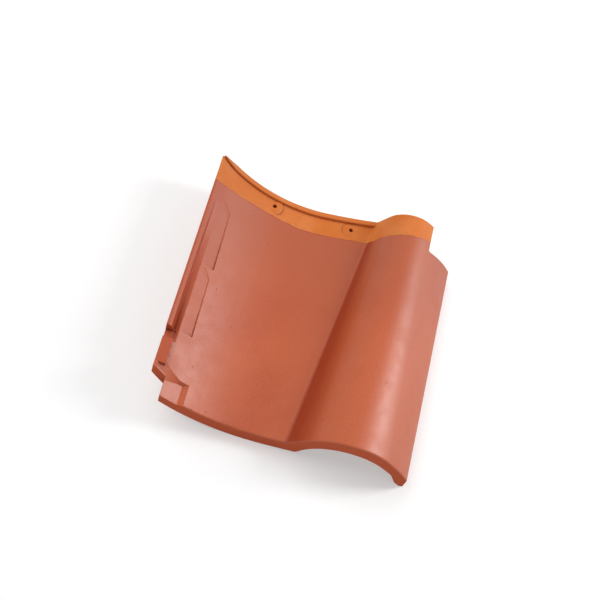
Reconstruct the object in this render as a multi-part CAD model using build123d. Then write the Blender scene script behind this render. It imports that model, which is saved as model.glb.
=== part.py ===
"""Interlocking clay roof tile of the S-section pantile kind, fired as one piece.

X runs across the tile, from the left rim to the drip edge of the roll. Y runs up the roof, from the
front face to the back edge. Z is up, as the tile lies on a level floor: on the lip under its front
face, on the hanging nib under its back edge and on the drip edge of its roll.
"""
from build123d import *
from math import acos, asin, atan2, cos, pi, radians, sin, sqrt, tan
import os

# Overall sizes
tile_length = 305.0          # front face to back edge
tile_width = 304.8           # left rim to drip edge
wall = 12.0                  # body thickness, square to the surface
front_face_height = 22.0     # how deep the front face is, straight down from the top surface
lip_depth = 18.0             # how far the front lip runs back along its bottom
lip_slope = 10.0             # further run of the slope that takes the lip up to the underside
lip_crease_shift = 14.0      # the lip's bottom turns up this far right of the crease
lip_roll_radius = 57.0       # hollow of the lip under the roll
front_round = 1.5            # along the top of the front face

# Pan, the hollow left of the crease: an arc, then a straight run up to the crease
pan_depth = 48.6             # from its left corner down to its lowest line
pan_low_reach = 185.0        # its lowest line, from the top of the drip edge
pan_rise = 8.0               # degrees, slope of the straight run

# Roll, the round ridge on the right: broad in front, narrow behind, with one right flank for both
roll_height = 72.0           # top of the roll above the floor
roll_front_radius = 64.0
roll_back_radius = 32.0
roll_reach = 72.5            # middle of the roll at the front, from the top of the drip edge
flank_radius = 150.0         # the long arc that takes the roll down to the drip edge
flank_start = 39.0           # degrees, slope where the front roll meets that arc

# Crease between pan and roll: it slants, because the roll narrows
crease_front_reach = 141.0   # from the top of the drip edge
crease_back_reach = 104.0
crease_radius = 5.0

# Drip edge along the right side of the roll
drip_lean = 0.8              # how far its foot stands out past its top
drip_width = 23.0            # how far the thick edge reaches in under the flank
drip_foot = 5.0              # width of the foot that meets the floor
drip_heel = 6.5              # the heel rises this much, as far in from the foot
drip_round = 2.0

# Left side lap: a rim with a channel beside it, and a flat strip in front of both
rim_width = 5.0
rim_dressing = 2.6           # how much lower the rim's level top is than the pan's left corner
channel_width = 10.0
channel_foot = 3.5           # from the rim's top across to the bottom of the channel
channel_depth = 4.0          # at the front, below the channel's right edge
channel_start_y = 250.0      # the channel runs out to nothing here
strip_front_y = 31.0
strip_back_y = 61.0
strip_width = 12.0
strip_drop = 2.0             # how much lower the strip's top is than the rim's
slot_length = 14.0           # the slot across the rim where the channel ends
slot_depth = 14.0            # below the rim

# Two pressed hollows beside the channel: each deepens towards its right side and its front end
hollow_width = 13.5
hollow_depth = 2.0
hollow_right_x = 30.5
hollow_wall_run = 1.2        # how far their right wall slopes
hollow_slant = 1.5           # how far their right side leans in at the back
hollow_corner_length = 10.0  # the slanting corner behind each
hollow_corner_reach = 8.0    # how far left that corner runs
hollow_ends = ((78.0, 152.0), (166.0, 242.0))

# Sunk corner beside the front notch
pad_reach_x = 37.5           # the floor of the sunk corner, from the left edge
pad_reach_y = 22.5
pad_depth = 4.0
pad_side_run = 6.0           # how far its right wall slopes out
pad_back_run_left = 15.0     # how far its back wall slopes out beside the strip
pad_back_run_right = 2.5     # and at its right end
bead_width = 3.0             # the bead left standing between the sunk corner and the notch

# Corner notches, where four tiles meet
front_notch_width = 16.0
front_notch_length = 25.0    # along the left edge
front_notch_slant = 4.5      # how much shorter it is at its inner corner
front_notch_round = 2.0
back_notch_width = 38.2
back_notch_length = 35.0     # at its inner corner
back_notch_slant = 6.0       # how much shorter it is at the drip edge
back_notch_round = 2.0

# Back edge of the pan: bowed in, with a water-return ridge along it
bow_left_x = 20.0
bow_right_reach = 90.0       # from the top of the drip edge
bow_depth = 6.2
ridge_height = 4.0
ridge_width = 6.0
ridge_bevel = 0.8            # along its top front edge
ridge_start_x = 2.0          # its front side comes round to the back edge here
ridge_rim_rise = 2.5         # its left end is dressed level this far above the rim
ridge_past_crease = 8.0      # its right end dies into the roll this far past the crease

# Hanging nib under the back edge
nib_width = 70.0
nib_thickness = 10.0
nib_inset = 0.5              # from the deepest part of the bowed edge
nib_draft = 2.0              # how much thinner each side of the nib is at its foot

# Nail holes with flat bosses
hole_radius = 2.5
hole_back = 19.5             # from the back edge to the holes
hole_to_low = 42.0           # from the left hole to the pan's lowest line
hole_to_crease = 26.0        # from the right hole to the crease at the back
boss_radius = 6.0
boss_height = 1.0            # above the surface on the hole's axis
boss_spread = 2.5            # how far its side slopes out on the way down to the surface

# Worked out from these
edge_top_x = tile_width - drip_lean
pan_low_x = edge_top_x - pan_low_reach
pan_radius = (pan_low_x ** 2 + pan_depth ** 2) / (2 * pan_depth)
pan_centre_z = front_face_height + pan_radius
rim_top = front_face_height + pan_depth - rim_dressing
strip_top = rim_top - strip_drop
above = 2 * roll_height
roll_front_centre = (edge_top_x - roll_reach, roll_height - roll_front_radius)
flank_centre = (roll_front_centre[0] - (flank_radius - roll_front_radius) * sin(radians(flank_start)),
                roll_front_centre[1] - (flank_radius - roll_front_radius) * cos(radians(flank_start)))
edge_angle = acos((edge_top_x - flank_centre[0]) / flank_radius)
crease_back_x = edge_top_x - crease_back_reach


def polar(centre, radius, angle):
    return centre[0] + radius * cos(angle), centre[1] + radius * sin(angle)


def meet(p, p_angle, q, q_angle):
    """Point where the line through p and the line through q cross; angles in radians."""
    det = cos(p_angle) * sin(q_angle) - sin(p_angle) * cos(q_angle)
    t = ((q[0] - p[0]) * sin(q_angle) - (q[1] - p[1]) * cos(q_angle)) / det
    return p[0] + t * cos(p_angle), p[1] + t * sin(p_angle)


def roll_centre(radius):
    """Centre of a roll of this radius that has the same height and touches the same flank arc."""
    rise = roll_height - radius - flank_centre[1]
    return flank_centre[0] + sqrt((flank_radius - radius) ** 2 - rise ** 2), roll_height - radius


def chain(crease_reach, roll_radius, inset=0.0, drop=0.0, y=0.0):
    """The S-shaped line across the tile at y, as six tangent edges from the left rim to the drip edge.

    inset moves it square to the surface, into the clay; drop moves it straight down.
    """
    pan = (pan_low_x, pan_centre_z)
    roll = roll_centre(roll_radius)
    rise = radians(pan_rise)
    pan_r = pan_radius + inset
    roll_r = roll_radius - inset
    crease_x = edge_top_x - crease_reach
    run_start = polar(pan, pan_radius, rise - pi / 2)
    crease = (crease_x, run_start[1] + (crease_x - run_start[0]) * tan(rise))
    away = (crease[0] - roll[0], crease[1] - roll[1])
    reach = sqrt(away[0] ** 2 + away[1] ** 2)
    normal = atan2(away[1], away[0]) % (2 * pi) - acos(roll_radius / reach)
    climb = normal - pi / 2
    left_angle = -pi / 2 - asin(pan_low_x / pan_r)
    p0 = polar(pan, pan_r, left_angle)
    p0_mid = polar(pan, pan_r, (left_angle + rise - pi / 2) / 2)
    p1 = polar(pan, pan_r, rise - pi / 2)
    p3 = polar(roll, roll_r, normal)
    corner = meet(p1, rise, p3, climb)
    turn = climb - rise
    back_off = (crease_radius + inset) * tan(turn / 2)
    c0 = polar(corner, -back_off, rise)
    c1 = polar(corner, back_off, climb)
    c_mid = polar(corner, (crease_radius + inset) * (1 / cos(turn / 2) - 1), (climb + rise) / 2 + pi / 2)
    touch = atan2(roll[1] - flank_centre[1], roll[0] - flank_centre[0])
    p4 = polar(roll, roll_r, touch)
    p4_mid = polar(roll, roll_r, (normal + touch) / 2)
    p5 = polar(flank_centre, flank_radius - inset, edge_angle)
    p5_mid = polar(flank_centre, flank_radius - inset, (touch + edge_angle) / 2)

    def at(p):
        return Vector(p[0], y, p[1] - drop)

    return [ThreePointArc(at(p0), at(p0_mid), at(p1)), Line(at(p1), at(c0)),
            ThreePointArc(at(c0), at(c_mid), at(c1)), Line(at(c1), at(p3)),
            ThreePointArc(at(p3), at(p4_mid), at(p4)), ThreePointArc(at(p4), at(p5_mid), at(p5))]


FRONT = (crease_front_reach, roll_front_radius)
BACK = (crease_back_reach, roll_back_radius)


def outline(upper, lower):
    """Face between two such lines at the same y."""
    return make_face(upper + lower + [Line(lower[0] @ 0, upper[0] @ 0), Line(upper[-1] @ 1, lower[-1] @ 1)])


def layer(top, bottom):
    """Solid between two surfaces of the S, each given as inset and drop, over the whole length."""
    ends = []
    for end, y in ((FRONT, 0.0), (BACK, tile_length)):
        ends.append(outline(chain(*end, *top, y), chain(*end, *bottom, y)).face().outer_wire())
    return Solid.make_loft(ends, ruled=True)


def prism_x(points, x0, x1):
    """Straight bar along X with the given (y, z) outline."""
    edge = Polyline([(x0, y, z) for y, z in points], close=True)
    return extrude(make_face(edge), amount=x1 - x0, dir=(1, 0, 0))


def prism_y(points, y0, y1):
    """Straight bar along Y with the given (x, z) outline."""
    edge = Polyline([(x, y0, z) for x, z in points], close=True)
    return extrude(make_face(edge), amount=y1 - y0, dir=(0, 1, 0))


def prism_z(points):
    """Upright bar from below the floor to above the roll with the given (x, y) outline."""
    edge = Polyline([(x, y, -1) for x, y in points], close=True)
    return extrude(make_face(edge), amount=above, dir=(0, 0, 1))


def block(x0, x1, y0, y1, z0, z1):
    return Pos(x0, y0, z0) * Box(x1 - x0, y1 - y0, z1 - z0, align=(Align.MIN,) * 3)


def flank_z(x, inset=0.0):
    """Height of the flank's arc at x, or of a surface inset below it."""
    return flank_centre[1] + sqrt((flank_radius - inset) ** 2 - (x - flank_centre[0]) ** 2)


def pan_z(x, inset=0.0):
    """Height of the pan's arc at x, or of a surface inset below it."""
    return pan_centre_z - sqrt((pan_radius + inset) ** 2 - (x - pan_low_x) ** 2)


def ridge_line(rise):
    """The pan's arc and straight run, carried on into the roll, moved straight up by rise."""
    run_x = pan_low_x + pan_radius * sin(radians(pan_rise))
    end_x = crease_back_x + ridge_past_crease
    end_z = pan_z(run_x) + (end_x - run_x) * tan(radians(pan_rise))
    start, middle, touch = [(x, 0, pan_z(x) + rise) for x in (0, pan_low_x / 2, run_x)]
    return [ThreePointArc(start, middle, touch), Line(touch, (end_x, 0, end_z + rise))]


def bar_between(sections):
    """Straight-sided solid through closed outlines, each a list of as many points."""
    return Solid.make_loft([Wire.make_polygon(points, close=True) for points in sections], ruled=True)


def back_bow(depth):
    """The bowed back edge as a plan arc, or a line parallel to it further forward."""
    right_x = edge_top_x - bow_right_reach
    middle_x = (bow_left_x + right_x) / 2
    return ThreePointArc((bow_left_x, tile_length - depth, 0), (middle_x, tile_length - bow_depth - depth, 0),
                         (right_x, tile_length - depth, 0))


body = layer((0.0, 0.0), (wall, 0.0))

# Front lip: the front face is as deep as the step between two courses of tiles
lip_end = lip_depth + lip_slope
lip_bottom = chain(crease_front_reach - lip_crease_shift, lip_roll_radius, 0.0, front_face_height)
lip = extrude(outline(chain(*FRONT, wall / 2), lip_bottom), amount=lip_end, dir=(0, 1, 0))
lip = lip & prism_x([(0, 0), (lip_depth, 0), (lip_end, front_face_height), (lip_end, above), (0, above)],
                    0, tile_width)
body = body + lip

# Drip edge: the thick right edge of the roll, which stands on the floor
inner_x = edge_top_x - drip_width
foot_x = tile_width - drip_foot
drip = prism_y([(edge_top_x, flank_z(edge_top_x)), (tile_width, 2 * drip_round), (tile_width, 0), (foot_x, 0),
                (foot_x - drip_heel, drip_heel), (inner_x, flank_z(inner_x, wall)),
                (inner_x, flank_z(inner_x, wall / 2))], 0, tile_length)
drip = fillet(drip.edges().filter_by(Axis.Y).filter_by_position(Axis.Z, -1, 1), drip_round)
body = body + drip

# Front edge: rounded over along its top, from the pan to the flank
front_edges = body.edges().filter_by_position(Axis.Y, -0.01, 0.01)
top_line = chain(*FRONT)
front_top = [edge for edge in front_edges if min((edge @ 0.5 - line @ 0.5).length for line in top_line) < 1]
body = fillet(front_top, front_round)

# Rim: dressed level along the left edge, a little lower beside and before the strip
body = body - block(-1, channel_width, -1, tile_length + 1, rim_top, above)
body = body - block(-1, strip_width, -1, strip_back_y, strip_top, above)

# Channel beside the rim: a V that deepens towards the front
channel_x = rim_width + channel_width
foot = rim_width + channel_foot
channel_front = [(rim_width, above), (rim_width, rim_top), (foot, pan_z(channel_x) - channel_depth),
                 (channel_x, pan_z(channel_x)), (channel_x, above)]
channel_back = [(rim_width, above), (rim_width, rim_top), (foot, pan_z(foot)), (channel_x, pan_z(channel_x)),
                (channel_x, above)]
body = body - bar_between([[(x, strip_back_y, z) for x, z in channel_front],
                           [(x, channel_start_y, z) for x, z in channel_back]])

# Slot across the rim where the channel ends
body = body - block(-1, strip_width, strip_back_y, strip_back_y + slot_length, rim_top - slot_depth, above)

# Pressed hollows: wedges under the pan, deepest at the foot of their right wall
for y0, y1 in hollow_ends:
    left_x = hollow_right_x - hollow_width
    sections = []
    for y, lean, depth in ((y0, 0, hollow_depth), (y1, hollow_slant, hollow_depth / 2),
                           (y1 + hollow_corner_length, hollow_corner_reach, hollow_depth / 4)):
        right_x = hollow_right_x - lean
        deep_x = right_x - hollow_wall_run
        sections.append([(left_x, y, pan_z(left_x)), (deep_x, y, pan_z(deep_x) - depth),
                         (right_x, y, pan_z(right_x)), (right_x, y, above), (left_x, y, above)])
    body = body - bar_between(sections)

# Sunk corner beside the front notch: its floor follows the pan, and its walls slope out as they rise
bead = prism_z([(-1, front_notch_length), (front_notch_width, front_notch_length - front_notch_slant),
                (front_notch_width, front_notch_length - front_notch_slant + bead_width),
                (-1, front_notch_length + bead_width)])
sections = []
pad_low = -2 * pad_depth
for x, low, back_run in ((-1, pad_low, pad_back_run_left), (strip_width, pad_low, pad_back_run_left),
                         (pad_reach_x - pad_side_run, pad_low, pad_back_run_right),
                         (pad_reach_x + pad_side_run, 0, pad_back_run_right)):
    z = pan_z(x)
    y_low = pad_reach_y + back_run * (low / pad_depth + 1)
    y_top = pad_reach_y + back_run * 1.5
    sections.append([(x, -1, z + low), (x, y_low, z + low), (x, y_top, z + pad_depth / 2), (x, y_top, above),
                     (x, -1, above)])
body = body - ((bar_between(sections) & layer((0.0, -above), (pad_depth, 0.0))) - bead)

# Flat strip that closes the channel's front end
strip = block(0, strip_width, strip_front_y, strip_back_y, 0, strip_top)
strip = strip & layer((0.0, -rim_top), (wall / 2, 0.0))
body = body + strip

# Bowed back edge of the pan
bow_right_x = edge_top_x - bow_right_reach
cut_edge = back_bow(0)
behind = make_face([cut_edge, Polyline(cut_edge @ 1, (bow_right_x, tile_length + 1, 0),
                                       (bow_left_x, tile_length + 1, 0), cut_edge @ 0)])

# Water-return ridge: a bar along the bowed edge, from the rim into the foot of the roll
front_of_ridge = back_bow(ridge_width)
ridge_zone = extrude(make_face([front_of_ridge, Polyline(front_of_ridge @ 1, (bow_right_x, tile_length, 0),
                                (ridge_start_x, tile_length, 0), (ridge_start_x, tile_length - 1, 0),
                                front_of_ridge @ 0)]), amount=above)
ridge = extrude(outline(ridge_line(ridge_height), ridge_line(-wall / 2)), amount=tile_length, dir=(0, 1, 0))
ridge = (ridge & ridge_zone) - extrude(behind, amount=above)
ridge = ridge - block(-1, channel_x, 0, tile_length + 1, rim_top + ridge_rim_rise, above)
ridge_front = [edge for edge in ridge.edges() if edge.length > 2 * ridge_width
               and (edge @ 0.5).Y < tile_length - ridge_width and (edge @ 0.5).Z > pan_z((edge @ 0.5).X)]
ridge = chamfer(ridge_front, ridge_bevel)
body = body - extrude(behind, amount=above)
body = body + ridge

# Hanging nib: a wide block under the back edge that hooks over a roof batten
nib_back = tile_length - bow_depth - nib_inset
nib_front = nib_back - nib_thickness
nib_left = pan_low_x - nib_width / 2
nib_right = pan_low_x + nib_width / 2
nib_top = pan_z(nib_left, wall / 2)
nib = prism_y([(nib_left, nib_top), (nib_left + nib_draft, 0), (nib_right - nib_draft, 0),
               (nib_right, nib_top)], nib_front, nib_back)
nib = nib & prism_x([(nib_front, 0), (nib_back - nib_draft, 0), (nib_back, nib_top), (nib_front, nib_top)],
                    nib_left, nib_right)
body = body + (nib & layer((wall / 2, 0.0), (0.0, above)))

# Nail holes, each through a flat round boss
hole_y = tile_length - hole_back
for hole_x in (pan_low_x - hole_to_low, crease_back_x - hole_to_crease):
    surface = max(point.Z for point, _ in body.find_intersection_points(Axis((hole_x, hole_y, 0), (0, 0, 1))))
    hole = Pos(hole_x, hole_y, 0) * Cylinder(hole_radius, above)
    boss = Pos(hole_x, hole_y, surface) * Cone(boss_radius + 2 * boss_spread, boss_radius, 2 * boss_height)
    body = (body - hole) + (boss - hole)

# Corner notches
front_notch = prism_z([(-1, -1), (front_notch_width, -1),
                       (front_notch_width, front_notch_length - front_notch_slant), (-1, front_notch_length)])
back_notch = prism_z([(tile_width - back_notch_width, tile_length - back_notch_length),
                      (tile_width, tile_length - back_notch_length + back_notch_slant),
                      (tile_width, tile_length), (tile_width - back_notch_width, tile_length)])
front_notch = fillet(front_notch.edges().filter_by(Axis.Z).group_by(Axis.X)[-1].group_by(Axis.Y)[-1],
                     front_notch_round)
back_notch = fillet(back_notch.edges().filter_by(Axis.Z).group_by(Axis.X)[0].group_by(Axis.Y)[0],
                    back_notch_round)
body = body - front_notch - back_notch

print("solids", len(body.solids()), "volume", round(body.volume), body.bounding_box())

roof_tile = (Pos(-tile_width / 2, -tile_length / 2, 0) * body).solid()
os.makedirs("parts", exist_ok=True)
export_step(roof_tile, "parts/roof_tile.step")
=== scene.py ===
"""A fired clay roof tile with a satin slip, lying on a pale floor under soft studio light."""
import math

import bpy
from mathutils import Matrix, Vector

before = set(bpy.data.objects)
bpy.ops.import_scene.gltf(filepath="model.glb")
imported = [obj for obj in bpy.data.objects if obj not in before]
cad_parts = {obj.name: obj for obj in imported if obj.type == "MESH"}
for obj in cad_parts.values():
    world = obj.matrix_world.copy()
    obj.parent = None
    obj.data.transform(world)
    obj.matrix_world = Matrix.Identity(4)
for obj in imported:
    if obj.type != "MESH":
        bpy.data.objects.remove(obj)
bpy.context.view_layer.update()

# Camera: above the tile's left front corner, turned in its own plane so that the tile's front edge
# runs down to the right.
camera_place = Vector((-0.1098, -0.5736, 1.1341))
camera_azimuth = math.radians(-8.96)
camera_elevation = math.radians(61.46)
camera_roll = math.radians(25.38)
camera_lens = 64.81
camera_sensor = 36
camera_reach = 50

backward = Vector((math.sin(camera_azimuth) * math.cos(camera_elevation),
                   -math.cos(camera_azimuth) * math.cos(camera_elevation), math.sin(camera_elevation)))
level = Vector((math.cos(camera_azimuth), math.sin(camera_azimuth), 0))
upright = backward.cross(level)
rightward = math.cos(camera_roll) * level + math.sin(camera_roll) * upright
turn = Matrix((rightward, backward.cross(rightward), backward)).transposed().to_4x4()
camera_data = bpy.data.cameras.new("camera")
camera_data.lens = camera_lens
camera_data.sensor_width = camera_sensor
camera_data.clip_end = camera_reach
camera = bpy.data.objects.new("camera", camera_data)
camera.matrix_world = Matrix.Translation(camera_place) @ turn
bpy.context.scene.collection.objects.link(camera)
bpy.context.scene.camera = camera

# Tile: stiff clay pressed between two moulds, trimmed, dried and fired to orange. Before firing its face
# was dipped in red-brown slip, which fires to a satin skin. The slip stops short of the back edge, which
# the next course covers, and the underside is left bare.
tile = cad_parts["roof_tile"]

slip_colour = (0.418, 0.076, 0.019, 1)
# thin slip's colour, also used for the lighter edges, partly as painted highlight
thin_slip_and_edge_highlight_colour = (0.490, 0.120, 0.042, 1)
# thick slip's colour, also used as painted shade in the side lap
thick_slip_and_lap_shade_colour = (0.360, 0.055, 0.012, 1)
# painted shade: the slip's colour at the back of the pan, where less light falls
back_shade_colour = (0.345, 0.068, 0.021, 1)
# painted shade: the deeper colour of the steep sides and front face, which face away from the lamps
steep_shade_colour = (0.450, 0.056, 0.004, 1)
slip_rim_colour = (0.270, 0.042, 0.010, 1)
# painted shade on the roll's left flank along the crease
crease_shade_colour = (0.262, 0.025, 0.001, 1)
# painted shade in hollows and corners
hollow_shade_colour = (0.230, 0.030, 0.006, 1)
bare_colour = (0.545, 0.137, 0.018, 1)
pale_bare_colour = (0.575, 0.170, 0.036, 1)
# iron specks' colour, also the painted shade inside pits and pinholes
iron_speck_and_pit_shade_colour = (0.230, 0.060, 0.028, 1)

slick_roughness = 0.44       # the slip where it is smoothest
dull_roughness = 0.51        # the slip where it is dullest
bare_roughness = 0.78
edge_roughness = 0.90        # the sides and the front edge, which no tool smoothed
clay_gloss = 0.70            # strength of the mirror-like part, 0.5 being plain glaze

dip_line_y = 0.1192          # where the slip stops, on average over the pan
dip_line_sway = 0.0022       # how far that line sways to and fro
dip_line_wave = 0.165        # length of one sway
dip_line_phase = 0.144
dip_line_ragged = 0.0010     # how far its ragged edge strays, in steps of ragged_size
ragged_size = 0.008
dip_line_blur = 0.0004
roll_climb_x = 0.0526        # from here the line climbs along the roll
roll_climb = 3.3
slip_rim_width = 0.0016      # the thicker lip of slip along its own edge
back_shade_run = 0.150             # over this length painted shade darkens the slip towards the dip line, at the back of the pan
lap_edge_x = -0.134          # left of here and behind the sunk corner painted shade darkens the slip in the side lap
lap_edge_blur = 0.004
lap_front_y = -0.1215
lap_front_blur = 0.001
crease_x = 0.0299            # where the roll springs from the pan, halfway back
crease_slant = 0.1213
crease_shade_width = 0.0165          # width of the painted shade on the roll's left flank along the crease, wider at the front
crease_shade_taper = 0.072

blotch_size = 0.090          # cloudy patches of thicker slip
pale_patch_size = 0.040      # paler patches in the bare clay
sheen_patch_size = 0.018
wander_size = 0.012          # the ragged limit of the slip round the edges, towards the underside
wear_size = 0.004
fleck_size = 0.0022
grain_size = 0.0009
iron_specks_per_metre = 240
pits_per_metre = 42
pinholes_per_metre = 72
pinhole_crowd_size = 0.050

edge_softening = 0.0009      # radius of the sharp edges once fired
hollow_reach = 0.009         # how far a wall darkens the hollow beside it with painted shade
ripple_size = 0.045
ripple_height = 0.00005
peel_size = 0.0024
peel_height = 0.00009
grit_size = 0.0007
slip_grit_height = 0.00003
bare_grit_height = 0.00005
skin_thickness = 0.00007
pit_depth = 0.0005
pinhole_depth = 0.00030

clay = bpy.data.materials.new("slipped_clay")
clay.use_nodes = True
sheet = clay.node_tree


def add_node(kind, sockets, **settings):
    """A node on the sheet in hand; a socket is given a value or another node's output."""
    node = sheet.nodes.new(kind)
    for name, value in settings.items():
        setattr(node, name, value)
    for name, value in sockets.items():
        if isinstance(value, bpy.types.NodeSocket):
            sheet.links.new(value, node.inputs[name])
        else:
            node.inputs[name].default_value = value
    return node


def reckon(operation, first, second=0.0, third=0.0):
    """One step of arithmetic."""
    return add_node("ShaderNodeMath", {0: first, 1: second, 2: third}, operation=operation).outputs[0]


def ramp(value, low, high, to_low=0.0, to_high=1.0):
    """Smooth step from to_low, where value is under low, to to_high, where it is over high."""
    node = add_node("ShaderNodeMapRange", {"Value": value, "From Min": low, "From Max": high,
                                           "To Min": to_low, "To Max": to_high},
                    interpolation_type="SMOOTHSTEP")
    return node.outputs["Result"]


def tint(share, first, second):
    """The first colour with this share of the second."""
    return add_node("ShaderNodeMix", {0: share, 6: first, 7: second}, data_type="RGBA").outputs[2]


def clouds(size, detail, roughness=0.5):
    """Noise over the tile with features of this size, in metres."""
    return add_node("ShaderNodeTexNoise", {"Vector": over_tile, "Scale": 1 / size, "Detail": detail,
                                           "Roughness": roughness}).outputs[0]


def dots(per_metre, **settings):
    """Scattered cells over the tile: the distance from each one's middle and a number drawn for it."""
    cells = add_node("ShaderNodeTexVoronoi", {"Vector": over_tile, "Scale": per_metre}, **settings)
    draw = add_node("ShaderNodeSeparateColor", {0: cells.outputs["Color"]})
    return cells.outputs["Distance"], draw.outputs[0]


surface = add_node("ShaderNodeTexCoord", {})
over_tile = surface.outputs["Object"]
place = add_node("ShaderNodeSeparateXYZ", {0: over_tile})
across = place.outputs[0]
along = place.outputs[1]
facing_up = add_node("ShaderNodeSeparateXYZ", {0: surface.outputs["Normal"]}).outputs[2]
steep = ramp(facing_up, 0.10, 0.40, 1.0, 0.0)

# Where the slip is: over the face up to the dip line and round the front and side edges, not underneath
waves = reckon("MULTIPLY", reckon("ADD", across, dip_line_phase), 2 * math.pi / dip_line_wave)
dip_line = reckon("MULTIPLY_ADD", reckon("SINE", waves), dip_line_sway, dip_line_y)
climb_run = reckon("MAXIMUM", reckon("SUBTRACT", across, roll_climb_x), 0.0)
climb = reckon("MULTIPLY", reckon("POWER", climb_run, 2.0), roll_climb)
ragged = reckon("MULTIPLY", reckon("SUBTRACT", clouds(ragged_size, 3), 0.5), 4 * dip_line_ragged)
from_line = reckon("SUBTRACT", reckon("ADD", reckon("ADD", dip_line, climb), ragged), along)
on_face = ramp(from_line, 0.0, dip_line_blur)
slip_rim = reckon("MULTIPLY", on_face, ramp(from_line, 0.4 * slip_rim_width, slip_rim_width, 1.0, 0.0))
wander = reckon("MULTIPLY", reckon("SUBTRACT", clouds(wander_size, 3), 0.5), 0.5)
slipped = reckon("MULTIPLY", on_face, ramp(reckon("ADD", facing_up, wander), -0.45, -0.25))

# Slip: cloudy with fine light and dark grains; painted shade makes it darker towards the dip line, in the
# side lap and on the steep faces
slip_tone = tint(ramp(clouds(blotch_size, 3, 0.45), 0.25, 0.60), thick_slip_and_lap_shade_colour, slip_colour)
slip_tone = tint(ramp(clouds(grain_size, 2, 0.6), 0.50, 0.70, 0.0, 0.70), slip_tone, thin_slip_and_edge_highlight_colour)
slip_tone = tint(ramp(clouds(fleck_size, 3, 0.65), 0.60, 0.72, 0.0, 0.30), slip_tone, thick_slip_and_lap_shade_colour)
# painted shade: the slip darkens towards the dip line, at the back of the pan
slip_tone = tint(ramp(from_line, 0.010, back_shade_run, 0.80, 0.0), slip_tone, back_shade_colour)
# painted shade: the side lap and its channel take the thick slip's darker colour
lap_shade = reckon("MULTIPLY", ramp(across, lap_edge_x - lap_edge_blur, lap_edge_x, 0.95, 0.0),
                ramp(along, lap_front_y - lap_front_blur, lap_front_y + lap_front_blur))
slip_tone = tint(lap_shade, slip_tone, thick_slip_and_lap_shade_colour)
# painted shade: steep sides and the front face take a deeper colour
slip_tone = tint(reckon("MULTIPLY", steep, 0.75), slip_tone, steep_shade_colour)
slip_tone = tint(slip_rim, slip_tone, slip_rim_colour)

# Painted shade along the crease, on the roll's left flank, which faces away from the key: it starts
# sharply at the pan and thins out up the flank
from_crease = reckon("SUBTRACT", across, reckon("MULTIPLY_ADD", along, crease_slant, crease_x))
up_flank = reckon("DIVIDE", from_crease, reckon("MULTIPLY_ADD", along, -crease_shade_taper, crease_shade_width))
crease_shade = reckon("MULTIPLY", ramp(up_flank, 0.15, 1.15, 0.92, 0.0), ramp(up_flank, -0.15, -0.03))
crease_shade = reckon("MULTIPLY", crease_shade, ramp(facing_up, 0.20, 0.40))
slip_tone = tint(crease_shade, slip_tone, crease_shade_colour)

# Bare clay: paler here and there, with dark specks of iron
bare_tone = tint(ramp(clouds(pale_patch_size, 3), 0.40, 0.70), bare_colour, pale_bare_colour)
speck_middle = dots(iron_specks_per_metre)[0]
bare_tone = tint(ramp(speck_middle, 0.06, 0.14, 0.8, 0.0), bare_tone, iron_speck_and_pit_shade_colour)
clay_tone = tint(slipped, bare_tone, slip_tone)

# Edges and corners: the slip runs thin and lighter over sharp edges, partly a painted highlight along
# them, and painted shade darkens the hollows
softened = add_node("ShaderNodeBevel", {"Radius": edge_softening}, samples=6).outputs[0]
straight = add_node("ShaderNodeNewGeometry", {}).outputs["Normal"]
agreement = add_node("ShaderNodeVectorMath", {0: softened, 1: straight}, operation="DOT_PRODUCT")
edge = ramp(agreement.outputs["Value"], 0.93, 0.995, 1.0, 0.0)
open_air = add_node("ShaderNodeAmbientOcclusion", {"Distance": hollow_reach}, samples=8,
                    only_local=True).outputs["AO"]
bared = reckon("MULTIPLY", edge, ramp(open_air, 0.75, 0.95))
thin_and_highlit_edge = reckon("MULTIPLY", bared, ramp(clouds(wear_size, 3), 0.40, 0.60))
# lighter where slip runs thin over sharp edges, and partly a painted highlight along them
clay_tone = tint(reckon("MULTIPLY", thin_and_highlit_edge, 0.45), clay_tone, thin_slip_and_edge_highlight_colour)
# painted shade in the hollows and corners, stronger on the slip
hollow_shade_strength = reckon("MULTIPLY_ADD", slipped, 0.50, 0.30)
hollow_shade = reckon("MULTIPLY", ramp(open_air, 0.36, 0.88, 1.0, 0.0), hollow_shade_strength)
clay_tone = tint(hollow_shade, clay_tone, hollow_shade_colour)

# Pits: a few open pores where a grain of lime or a bubble broke out, and small pinholes in crowds,
# darkened inside with painted shade
pit_middle, pit_draw = dots(pits_per_metre)
pit = reckon("MULTIPLY", ramp(pit_middle, 0.020, 0.048, 1.0, 0.0), ramp(pit_draw, 0.90, 0.91))
pinhole_middle, pinhole_draw = dots(pinholes_per_metre, voronoi_dimensions="2D")
crowded = reckon("GREATER_THAN", pinhole_draw, ramp(clouds(pinhole_crowd_size, 2), 0.45, 0.70, 0.95, 0.72))
pinhole = reckon("MULTIPLY", ramp(pinhole_middle, 0.030, 0.072, 1.0, 0.0), crowded)
pinhole = reckon("MULTIPLY", pinhole, ramp(facing_up, 0.30, 0.50))
# painted shade inside the pits and pinholes
pit_shade = reckon("MAXIMUM", reckon("MULTIPLY", pit, 0.7), reckon("MULTIPLY", pinhole, 0.6))
clay_tone = tint(pit_shade, clay_tone, iron_speck_and_pit_shade_colour)

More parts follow.
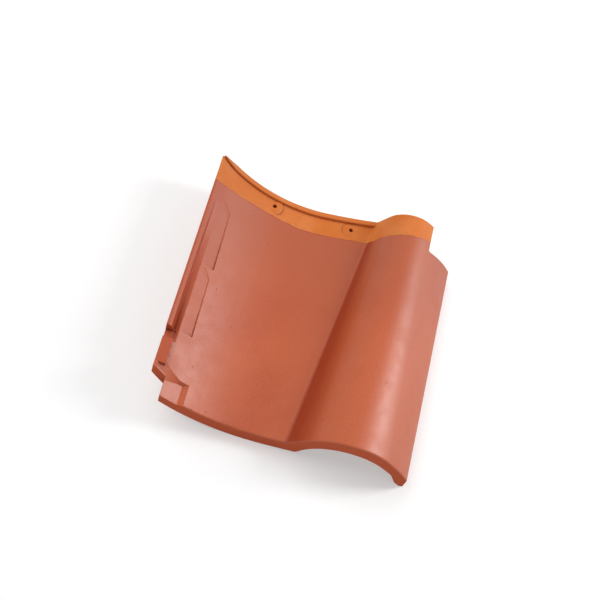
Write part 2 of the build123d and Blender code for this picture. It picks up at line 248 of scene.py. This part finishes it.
# Relief, in metres: long ripples of the press, orange peel, grain, the slip's edge and the pits
ripples = reckon("MULTIPLY", clouds(ripple_size, 1), ripple_height)
peel = reckon("MULTIPLY", clouds(peel_size, 3, 0.6), peel_height)
grit_height = reckon("MULTIPLY_ADD", slipped, slip_grit_height - bare_grit_height, bare_grit_height)
grit = reckon("MULTIPLY", clouds(grit_size, 2, 0.7), grit_height)
skin = reckon("MULTIPLY", ramp(from_line, -0.0002, 0.0010), skin_thickness)
height = reckon("ADD", reckon("ADD", ripples, peel), reckon("ADD", grit, skin))
height = reckon("MULTIPLY_ADD", pinhole, -pinhole_depth, height)
height = reckon("MULTIPLY_ADD", pit, -pit_depth, height)
relief = add_node("ShaderNodeBump", {"Height": height, "Distance": 1.0, "Strength": 1.0,
                                     "Normal": softened})

# Finish: satin where slipped, dull where bare and on the edges
slip_sheen = ramp(clouds(sheen_patch_size, 3), 0.30, 0.70, slick_roughness, dull_roughness)
sheen = reckon("MULTIPLY_ADD", slipped, reckon("SUBTRACT", slip_sheen, bare_roughness), bare_roughness)
sheen = reckon("MAXIMUM", sheen, reckon("MULTIPLY", steep, edge_roughness))
clay_body = sheet.nodes["Principled BSDF"]
sheet.links.new(clay_tone, clay_body.inputs["Base Color"])
sheet.links.new(sheen, clay_body.inputs["Roughness"])
sheet.links.new(relief.outputs[0], clay_body.inputs["Normal"])
clay_body.inputs["Specular IOR Level"].default_value = clay_gloss
tile.data.materials.clear()
tile.data.materials.append(clay)

# Floor: a plain pale sheet of matt card that stays white to the camera and in reflections, throws little
# light back up at the tile and keeps its shadow. Its own white grows with the distance from the tile.
floor_half = 6.0
floor_colour = (0.62, 0.62, 0.62, 1)
floor_roughness = 0.9
near_white = 0.36            # glow round the tile, where the lamps light the floor as well
far_white = 0.95
near_reach = 0.4
far_reach = 2.6

floor_corners = [(-floor_half, -floor_half, 0), (floor_half, -floor_half, 0), (floor_half, floor_half, 0),
                 (-floor_half, floor_half, 0)]
floor_mesh = bpy.data.meshes.new("floor")
floor_mesh.from_pydata(floor_corners, [], [(0, 1, 2, 3)])
floor = bpy.data.objects.new("floor", floor_mesh)
bpy.context.scene.collection.objects.link(floor)
pale_card = bpy.data.materials.new("pale_floor")
pale_card.use_nodes = True
sheet = pale_card.node_tree


def background_shows():
    """1 for rays from the camera, a gloss or a clear body, and 0 for the light that falls on things."""
    rays = add_node("ShaderNodeLightPath", {})
    seen_or_mirrored = reckon("MAXIMUM", rays.outputs["Is Camera Ray"], rays.outputs["Is Glossy Ray"])
    return reckon("MAXIMUM", seen_or_mirrored, rays.outputs["Is Transmission Ray"])


over_floor = add_node("ShaderNodeTexCoord", {}).outputs["Object"]
from_tile = add_node("ShaderNodeVectorMath", {0: over_floor}, operation="LENGTH").outputs["Value"]
card_white = ramp(from_tile, near_reach, far_reach, near_white, far_white)
floor_glow = reckon("MULTIPLY", background_shows(), card_white)
card_face = sheet.nodes["Principled BSDF"]
card_face.inputs["Base Color"].default_value = floor_colour
card_face.inputs["Roughness"].default_value = floor_roughness
card_face.inputs["Emission Color"].default_value = (1, 1, 1, 1)
sheet.links.new(floor_glow, card_face.inputs["Emission Strength"])
floor_mesh.materials.append(pale_card)

# Light: an upright soft lamp low beyond the right side, whose gleam lies down the roll and over the pan, a
# broad one high at the back left that opens up the roll's left flank, a weak one in front for the front
# edge, and a faint even sky. Of the lamps, only the first is mirrored in the slip.
sky_strength = 0.25
background_strength = 1.0


def soft_lamp(name, place, width, height, watts, gleams=True):
    """Soft lamp that looks at the middle of the tile; gleams says whether glossy surfaces mirror it."""
    data = bpy.data.lights.new(name, "AREA")
    data.shape = "RECTANGLE"
    data.size = width
    data.size_y = height
    data.energy = watts
    lamp = bpy.data.objects.new(name, data)
    lamp.location = place
    lamp.rotation_euler = (-Vector(place)).to_track_quat("-Z", "Y").to_euler()
    lamp.visible_glossy = gleams
    bpy.context.scene.collection.objects.link(lamp)


soft_lamp("key", (1.00, 0.33, 0.75), 0.36, 0.72, 11.6)
soft_lamp("fill", (-0.95, 0.45, 1.25), 1.80, 1.80, 24, gleams=False)
soft_lamp("front", (0.10, -1.30, 0.42), 1.20, 0.60, 3.5, gleams=False)

sky = bpy.data.worlds.new("studio")
sky.use_nodes = True
sheet = sky.node_tree
even_sky = sheet.nodes["Background"]
even_sky.inputs["Color"].default_value = (1, 1, 1, 1)
sheet.links.new(ramp(background_shows(), 0.0, 1.0, sky_strength, background_strength),
                even_sky.inputs["Strength"])
bpy.context.scene.world = sky
bpy.context.scene.view_settings.view_transform = "Standard"
